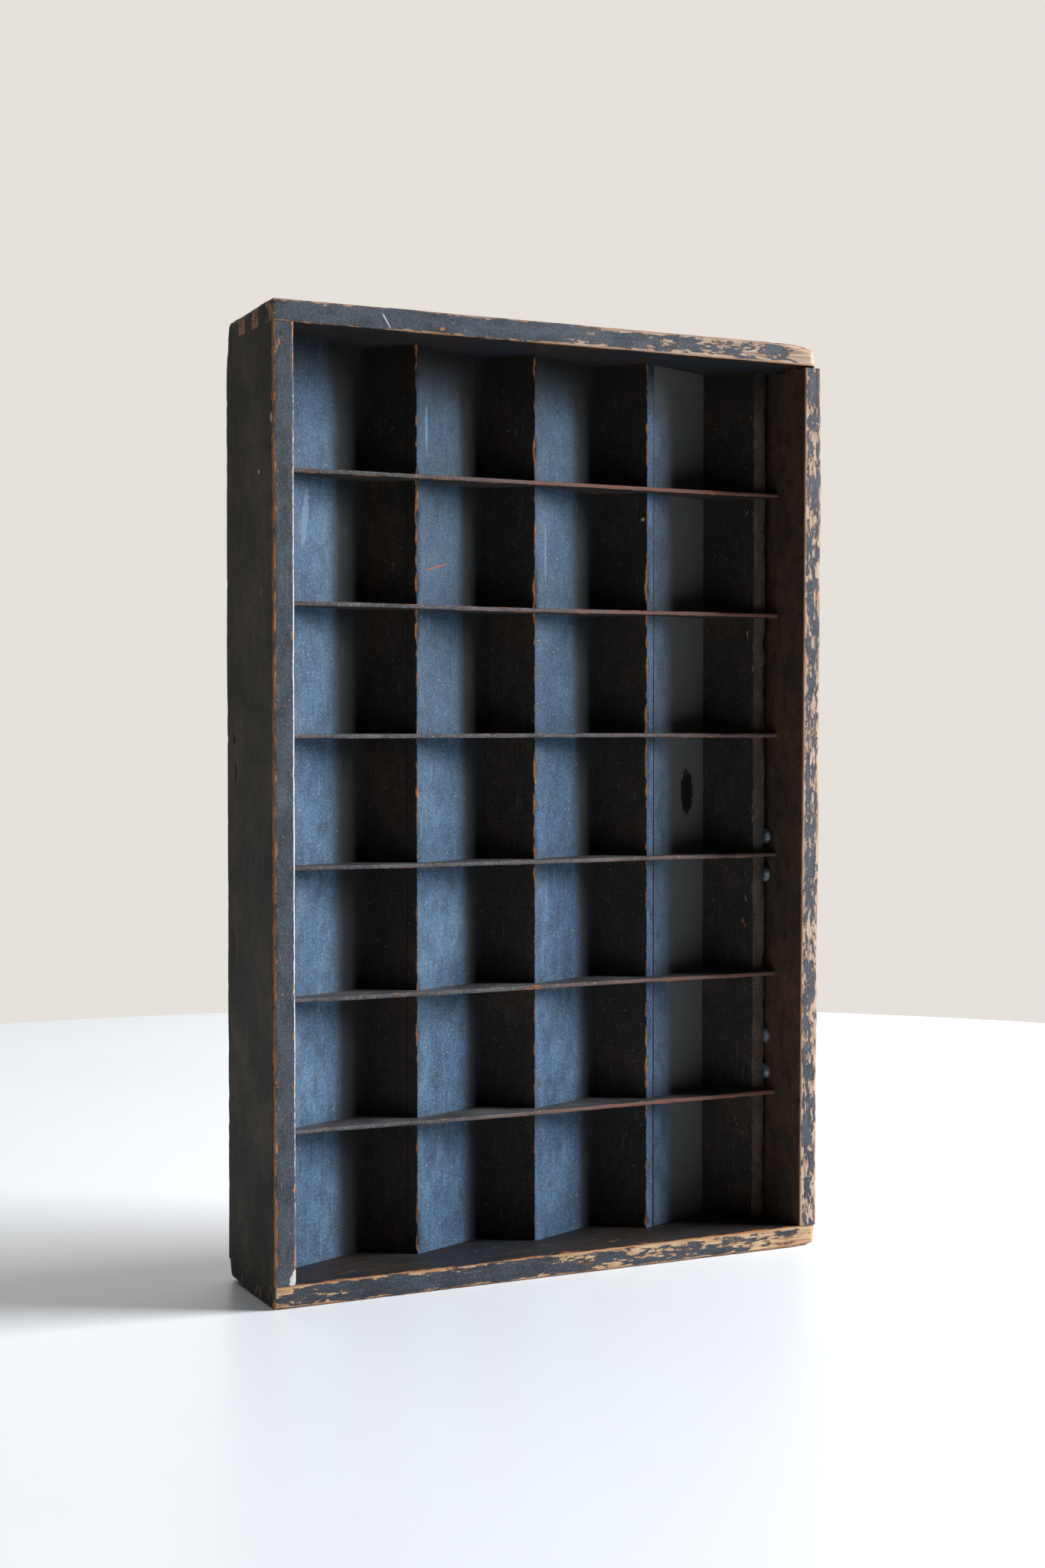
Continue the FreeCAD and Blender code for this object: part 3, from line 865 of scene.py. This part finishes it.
def ridge_lines():
    """The front corners of the zigzag, seen from above."""
    lines = []
    for number in range(1, 5):
        corners = outline_of("steep_slope_%d" % number)
        if number < 4:
            corners = corners + outline_of("wide_slope_%d" % (number + 1))
        front = min(y for _, y in corners)
        lines += sorted({corner for corner in corners if corner[1] < front + ON_FACE})
    return lines


RIDGES = ridge_lines()
print("ridges at, mm:", [tuple(np.round(np.array(ridge) / MM, 1)) for ridge in RIDGES])

# %% [markdown]
# The ridges stand nearest to the hand, so they are nibbled: a shared noise along each ridge
# pushes the nearest points of both boards back, which keeps the joint closed. The seams differ:
# tight at the second ridge, and at the third a gap that widens downwards where the board has
# shrunk away from its neighbour. Which paint a face wears depends on the way it looks, because
# the case was painted after it was put together. Towards the valleys the paint darkens with dirt
# and with painted shade where the next ridge's shadow falls, and the fourth wide slope carries a
# painted shadow of the right board. The boards also darken towards the top, most of all just
# under the top board, where dirt and its painted shadow add up. Beside the last ridge the soot
# is worn to streaks of reddish wood, so that board's bareness follows a rule of its own.

# %% Make the slopes
WIDE_TURN = math.radians(23.55)     # the wide slopes' angle to the front
WIDE_LOOK = np.array((math.sin(WIDE_TURN), -math.cos(WIDE_TURN), 0))
WIDE_SLOT, STEEP_SLOT, STRIP_SLOT = range(3)
RIDGE_RUB = 0.22 * MM
RIDGE_REACH = 2.6 * MM
NO_SEAM = (0, 0)
NO_VALLEY_DARKENING = (60, 61)                 # farther from the ridge than any slope reaches
UNDER_TOP = 34 * MM


def ridge_wear(points):
    """How far points near a ridge are rubbed back, and how chipped it is there."""
    gaps = np.stack([np.hypot(points[:, 0] - x, points[:, 1] - y) for x, y in RIDGES])
    which = gaps.argmin(axis=0)
    gap = gaps.min(axis=0)
    along = np.column_stack((which * 0.31, which * 0.17, points[:, 2]))
    chips = np.clip(drift(along, 5 * MM, 3) * 0.8 + drift(along, 30 * MM, 4) * 0.8 - 0.06, 0, 1)
    near = np.clip(1 - gap / RIDGE_REACH, 0, 1) ** 2
    return (RIDGE_RUB + chips * 1.9 * MM) * near, chips, gap


def slope(node, seam=NO_SEAM, grime_and_shade=NO_VALLEY_DARKENING, top_darkening=0.15, paint=wide_paint):
    """A sloping board. The seam's width at top and foot, and where the valley's dirt and painted
    shade start and are full, are in mm.
    """
    seam_top, seam_foot = (width * MM for width in seam)
    ridge_front, valley_front, ridge_back, valley_back = slope_corners(node)
    low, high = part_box(node)[0][2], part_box(node)[1][2]
    length = np.linalg.norm(valley_front - ridge_front)
    thick = np.linalg.norm(valley_back - valley_front)
    lines = (lines_between(0, length, 3.2 * MM), lines_between(0, thick, 2.0 * MM),
             lines_between(low, high, 2.4 * MM))
    grid, quads = skin_of_cells(lines)
    if valley_front[0] < ridge_front[0]:
        quads = quads[:, ::-1]
    pull = seam_foot + (seam_top - seam_foot) * (grid[:, 2] - low) / (high - low)
    along = ((pull + grid[:, 0] * (1 - pull / length)) / length)[:, None]
    through = (grid[:, 1] / thick)[:, None]
    flat = (ridge_front * (1 - along) + valley_front * along) * (1 - through)
    flat = flat + (ridge_back * (1 - along) + valley_back * along) * through
    points = np.column_stack((flat, grid[:, 2]))

    looks = way_it_looks(points, quads)
    slots = np.full(len(quads), STEEP_SLOT)
    slots[looks @ WIDE_LOOK > 0.97] = WIDE_SLOT
    slots[looks[:, 1] < -0.97] = STRIP_SLOT
    back, chips, gap = ridge_wear(points)
    worn = points.copy()
    worn[:, 1] += back
    seam_dirt = np.exp(-(grid[:, 0] + grid[:, 1]) / (0.5 * MM)) * (seam_foot > ON_FACE)
    # Darker towards the top of each slope, and most just under the top board, where dirt and the
    # top board's painted shadow add up.
    upper = top_darkening * share(points[:, 2], 90 * MM, 300 * MM)
    upper += 0.55 * share(points[:, 2], high - UNDER_TOP, high)
    at_ridge = np.exp(-gap / (1.0 * MM))
    bareness = -0.10 + (0.055 + chips * 0.5) * at_ridge
    if node == "steep_slope_4":
        bareness = -0.10 + 0.20 * np.exp(-gap / (9 * MM)) - 0.30 * np.exp(-gap / (1.2 * MM))
    # grime_and_shade holds the valley's dirt and painted shade, the dark seam, and the darkening
    # up high.
    values = {"arris_mm": np.minimum(gap / MM, FAR_MM),
              "bareness": bareness,
              "grime_and_shade": share(grid[:, 0] / MM, *grime_and_shade) + seam_dirt + upper}
    paints = (paint, steep_paint, strip_paint)
    return make_piece(node, worn, quads, values, paints, slots)


# Where each wide slope darkens towards its valley, in mm from the ridge: dirt, and painted shadow
# of the next ridge.
slope("wide_slope_1", grime_and_shade=(28, 46), top_darkening=0.17)
slope("steep_slope_1", seam=(0.05, 0.12))
slope("wide_slope_2", grime_and_shade=(24, 40), top_darkening=0.42)
slope("steep_slope_2")
slope("wide_slope_3", grime_and_shade=(23, 40), top_darkening=0.36)
slope("steep_slope_3")
# The fourth wide slope darkens from before its ridge on: painted shadow of the right board, with
# dirt.
slope("wide_slope_4", seam=(0.3, 0.8), grime_and_shade=(-10, 30), top_darkening=0.1, paint=shaded_paint)
slope("steep_slope_4")

# %% [markdown]
# ## The dividers
#
# A divider is a thin slat: straight in front, cut to the zigzag behind. Its grid runs along X,
# from the front edge to the back edge, and through its thickness; the back edge is simply the
# CAD outline, read point by point. The front arrises are rubbed round, the front edge is
# nibbled and the slats aren't quite flat. The edge is worn paler than the dark faces, so it has
# a paint of its own, and both turn redder towards the right.

# %% Make the dividers
def back_edge(node):
    """X places and depths of a divider's back edge, from left to right."""
    corners = outline_of(node)
    front = min(y for _, y in corners)
    behind = [corner for corner in corners if corner[1] > front + ON_FACE]
    return front, np.array([x for x, _ in behind]), np.array([y for _, y in behind])


SLAT_STEPS = np.array([0, 0.03, 0.09, 0.18, 0.34, 0.55, 0.78, 1.0])    # shares of the depth
SLAT_ROUND = 0.6 * MM
SWAY = 0.5 * MM
SWAY_SIZE = 110 * MM
NIBBLE = 1.2 * MM
EDGE_SLOT, FACE_SLOT = range(2)


def divider(node, redness, seed):
    front, places, depths = back_edge(node)
    (left, _, low), (right, _, high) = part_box(node)
    lines = (lines_between(left, right, 2.6 * MM, places), SLAT_STEPS,
             np.array([low, low + 0.4 * MM, (low + high) / 2, high - 0.4 * MM, high]))
    grid, quads = skin_of_cells(lines)
    deep = np.interp(grid[:, 0], places, depths) - front
    points = np.column_stack((grid[:, 0], front + grid[:, 1] * deep, grid[:, 2]))
    edge = Face((0, front, 0), (0, -1, 0))
    arrises = [Arris(edge, Face((0, 0, high), (0, 0, 1)), SLAT_ROUND, 0.5, seed),
               Arris(edge, Face((0, 0, low), (0, 0, -1)), SLAT_ROUND, 0.5, seed + 1)]
    worn, arris_mm, _ = wear(points, arrises)
    sway = drift(points * (1, 0, 0), SWAY_SIZE, seed)
    in_grooves = share(np.minimum(points[:, 0] - left, right - points[:, 0]), 0, 40 * MM)
    worn[:, 2] += sway * in_grooves * SWAY
    nibble = np.clip(drift(points, 7 * MM, seed + 5) - 0.35, 0, 1) * NIBBLE
    worn[:, 1] += nibble * (grid[:, 1] < 0.01)
    reddish = redness * share(points[:, 0], LEFT * redness, RIGHT)
    at_front = 1 - share(grid[:, 1], 0, 0.25)
    values = {"arris_mm": arris_mm, "bareness": -0.04 + reddish * 0.05,
              "grime_and_shade": 0.10 + reddish * (0.30 + 0.9 * at_front)}
    slots = np.where(way_it_looks(points, quads)[:, 1] < -0.5, EDGE_SLOT, FACE_SLOT)
    return make_piece(node, worn, quads, values, (slat_paint, slat_face), slots)


REDNESS = (1.0, 0.7, 0.35, 0.4, 0.6, 0.8)
for number, redness in enumerate(REDNESS, start=1):
    divider("divider_%d" % number, redness, seed=60 + 7 * number)

# %% [markdown]
# ## The back panel
#
# The panel is bare softwood that has gone brown. It has shrunk a little since it was nailed in,
# so its face lies lower than the frame and isn't flat, and each nail has pulled the fibres
# round it into a dimple. Its finish is noise stretched far along the grain; dirt has collected
# where it meets the frame.

# %% Make the back panel
NAIL_SPOTS = [(side * 127.7 * MM, FOOT + height * MM)
              for side in (-1, 1) for height in (45, 155, 265, 375)]
NAIL_SPOTS += [(x * MM, FOOT + height * MM) for x in (-89.5, 0, 89.5) for height in (6.8, 413.2)]
KNOTS = ((-52, 310), (61, 128))
HALO = colour(0.08, 0.036, 0.018)
HEART = colour(0.030, 0.016, 0.010)
SUNK = 0.30 * MM
DIMPLE = 0.30 * MM
DIMPLE_REACH = 3.2 * MM


def brown_board(name):
    look = Finish(name)
    fibres = look.stretch((1.0, 1.0, 0.05))
    bands = look.noise(fibres, 9 * MM, detail=4.0, distortion=0.6)
    streaks = look.noise(fibres, 0.8 * MM, detail=3.0)
    stains = look.noise(look.place, 60 * MM, detail=5.0)
    scuffs = look.noise(look.stretch((0.3, 1.0, 1.0)), 3 * MM, detail=4.0)
    near_frame = 1 - look.ramp(look.attribute("arris_mm"), 0.5, 7)
    surface = look.blend(look.ramp(bands, 0.35, 0.7), colour(0.20, 0.12, 0.068),
                         colour(0.095, 0.052, 0.029))
    surface = look.blend(look.ramp(streaks, 0.5, 0.75) * 0.6, surface, colour(0.05, 0.03, 0.02))
    surface = look.blend(look.ramp(scuffs, 0.62, 0.76) * 0.5, surface, colour(0.30, 0.20, 0.125))
    dirt = look.ramp(stains, 0.42, 0.72) * 0.6 + near_frame * stains
    surface = look.blend(dirt, surface, colour(0.035, 0.026, 0.020))
    for x, z in KNOTS:
        for wide, tall, strength, tone in ((7, 10, 0.5, HALO), (3, 4, 0.8, HEART)):
            knot = look.spot((x * MM, BACK, z * MM), (wide * MM, 9 * MM, tall * MM))
            surface = look.blend(knot * strength, surface, tone)
    return look.finish(surface, 0.72 + streaks * 0.15, streaks + bands * 0.5, 0.25 * MM)


def panel(node):
    (left, front, low), (right, back, high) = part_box(node)
    around = np.linspace(-5, 5, 7) * MM
    near_x = [x + step for x, _ in NAIL_SPOTS for step in around]
    near_z = [z + step for _, z in NAIL_SPOTS for step in around]
    lines = (lines_between(left, right, 6 * MM, near_x),
             np.array([front, (front + back) / 2, back - 1.0 * MM, back - 0.4 * MM, back]),
             lines_between(low, high, 6 * MM, near_z))
    points, quads = skin_of_cells(lines)
    rear = Face((0, back, 0), (0, 1, 0))
    sides = [Face((left, 0, 0), (-1, 0, 0)), Face((right, 0, 0), (1, 0, 0)),
             Face((0, 0, low), (0, 0, -1)), Face((0, 0, high), (0, 0, 1))]
    arrises = [Arris(rear, side, 1.0 * MM, seed=80 + number) for number, side in enumerate(sides)]
    worn, arris_mm, _ = wear(points, arrises)
    sunk = SUNK + 0.16 * MM * drift(points, 70 * MM, 86)
    for x, z in NAIL_SPOTS:
        gap = np.hypot(points[:, 0] - x, points[:, 2] - z)
        sunk += DIMPLE * np.exp(-(gap / DIMPLE_REACH) ** 2)
    worn[:, 1] -= sunk * (points[:, 1] > back - ON_FACE)
    return make_piece(node, worn, quads, {"arris_mm": arris_mm},
                      (brown_board("brown_back_board"),))


panel("back_panel")

# %% [markdown]
# ## Nails and screws
#
# The nails are iron with flat forged heads: each is a peg that ends in a disc with a low dome,
# struck a little out of true. Only the disc shows, so the shank behind it is as wide as the
# head. A square grid carried onto a disc makes one without a fan of thin triangles. The
# four screws inside the right board are zinc plated and have gone dull; their CAD shape, a
# domed head with a slot, is already right, so they only need a finish.

# %% Make the nail heads and finish the screws
def dull_metal(name, bright, tarnish, roughness, spread):
    look = Finish(name, metallic=0.85)
    patches = look.noise(look.place, spread, detail=5.0)
    pits = look.noise(look.place, 0.25 * MM, detail=2.0)
    surface = look.blend(look.ramp(patches, 0.42, 0.66), bright, tarnish)
    return look.finish(surface, roughness + patches * 0.25, pits, 0.05 * MM)


ZINC = dull_metal("dull_zinc", colour(0.27, 0.32, 0.37), colour(0.10, 0.12, 0.14), 0.40, 3 * MM)
IRON = dull_metal("dark_iron", colour(0.13, 0.11, 0.095), colour(0.12, 0.050, 0.025), 0.55,
                  2 * MM)
NAIL_RADIUS = 2.1 * MM


def nail_heads(node):
    front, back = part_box(node)[0][1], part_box(node)[1][1]
    side = np.linspace(-1, 1, 11)
    depths = np.array([0, 0.6, 0.85, 1.0])
    grid, quads = skin_of_cells((side, depths, side))
    u, deep, v = grid.T
    across = u * np.sqrt(1 - v ** 2 / 2)
    up = v * np.sqrt(1 - u ** 2 / 2)
    reach = across ** 2 + up ** 2
    heads = []
    for number, (x, z) in enumerate(NAIL_SPOTS):
        turn = number * 2.4
        tilt = 0.10 * MM * (1 + across * math.cos(turn) + up * math.sin(turn))
        hammered = 0.05 * MM * (1 + drift(grid, 0.5, number + 1))
        y = front + (back - front) * deep - deep * (0.38 * MM * reach ** 2 + tilt + hammered)
        width = NAIL_RADIUS * (0.97 - 0.10 * deep ** 4 + 0.03 * math.cos(turn))
        heads.append(np.column_stack((x + across * width, y, z + up * width)))
    faces = [quads + number * len(grid) for number in range(len(heads))]
    return make_piece(node, np.concatenate(heads), np.concatenate(faces), {}, (IRON,))


nail_heads("back_panel_nails")
SCREWS = ["wall_screw_%d" % number for number in range(1, 5)]
for name in SCREWS:
    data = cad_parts[name].data
    if not data.materials:
        data.materials.append(ZINC)
    for index in range(len(data.materials)):
        data.materials[index] = ZINC
print("carried over:", ", ".join(SCREWS))

# %% [markdown]
# ## Stage, light and camera
#
# The case stands on a plain pale table top. One large soft window to the right, a little in
# front of the case and above it, gives the blue slopes their light and leaves the steep ones
# dark; a pale room fills the shadows. The lens is close to fifty millimetres, held at the
# case's mid height and turned so that the left side shows.

# %% Set the stage
FLOOR_RADIUS = 0.92
floor_mesh = bpy.data.meshes.new("table_top")
disc = bmesh.new()
bmesh.ops.create_circle(disc, cap_ends=True, segments=160, radius=FLOOR_RADIUS)
disc.to_mesh(floor_mesh)
disc.free()
floor = bpy.data.objects.new("table_top", floor_mesh)
bpy.context.scene.collection.objects.link(floor)
floor.location.z = FOOT - 0.2 * MM

stone = Finish("pale_table")
veins = stone.noise(stone.place, 0.35, detail=6.0)
cloud = stone.blend(stone.ramp(veins, 0.35, 0.75), colour(0.94, 0.955, 0.985),
                    colour(0.90, 0.91, 0.93))
floor_mesh.materials.append(stone.finish(cloud, 0.30 + veins * 0.1, veins, 0.01 * MM))

scene = bpy.context.scene
scene.view_settings.view_transform = "Standard"
ROOM_BEHIND = (0.44, 0.90, 0.0)
ROOM_PALE = colour(0.79, 0.755, 0.705)
ROOM_DIM = colour(0.060, 0.058, 0.056)
room = bpy.data.worlds.new("pale_room")
room.use_nodes = True
sky = Tree(room.node_tree)
away = sky.add("ShaderNodeTexCoord", {}, {}, "Generated")
behind = sky.add("ShaderNodeVectorMath", {"operation": "DOT_PRODUCT"},
                 {0: away, 1: ROOM_BEHIND}, "Value")
backdrop = sky.blend(sky.ramp(behind, 0.30, 0.88), ROOM_DIM, ROOM_PALE)
sky.join(room.node_tree.nodes["Background"].inputs["Color"], backdrop)
scene.world = room

# %% Light from the window
middle = Vector((0, 0, (FOOT + TOP) / 2))
WINDOW_TURN = math.radians(20)
WINDOW_RISE = math.radians(21)
WINDOW_WAY = Vector((math.cos(WINDOW_TURN) * math.cos(WINDOW_RISE),
                     -math.sin(WINDOW_TURN) * math.cos(WINDOW_RISE), math.sin(WINDOW_RISE)))
WINDOW_AWAY = 2.3


def soft_light(name, size, energy, tint, place):
    """A square panel that shines straight down until it is turned."""
    data = bpy.data.lights.new(name, "AREA")
    data.size = size
    data.energy = energy
    data.color = tint
    light = bpy.data.objects.new(name, data)
    light.location = place
    scene.collection.objects.link(light)
    return light


window = soft_light("window", 1.15, 138, (0.93, 0.97, 1.0), middle + WINDOW_WAY * WINDOW_AWAY)
window.rotation_euler = (-WINDOW_WAY).to_track_quat("-Z", "Y").to_euler()
print("window at", [round(value, 2) for value in window.location])
soft_light("pale_ceiling", 2.4, 13, (0.86, 0.93, 1.0), (0, 0.9, 2.2))

# %% Place the camera
CAMERA_PLACE = Vector((-0.4513, -0.9038, 0.2431))
CAMERA_LOOKS = Vector((0.44279, 0.89626, -0.02565))
camera_data = bpy.data.cameras.new("camera")
camera_data.lens = 51.24
camera_data.sensor_width = 36
camera_data.clip_start = 0.01
camera = bpy.data.objects.new("camera", camera_data)
camera.location = CAMERA_PLACE
camera.rotation_euler = CAMERA_LOOKS.to_track_quat("-Z", "Y").to_euler()
scene.collection.objects.link(camera)
scene.camera = camera
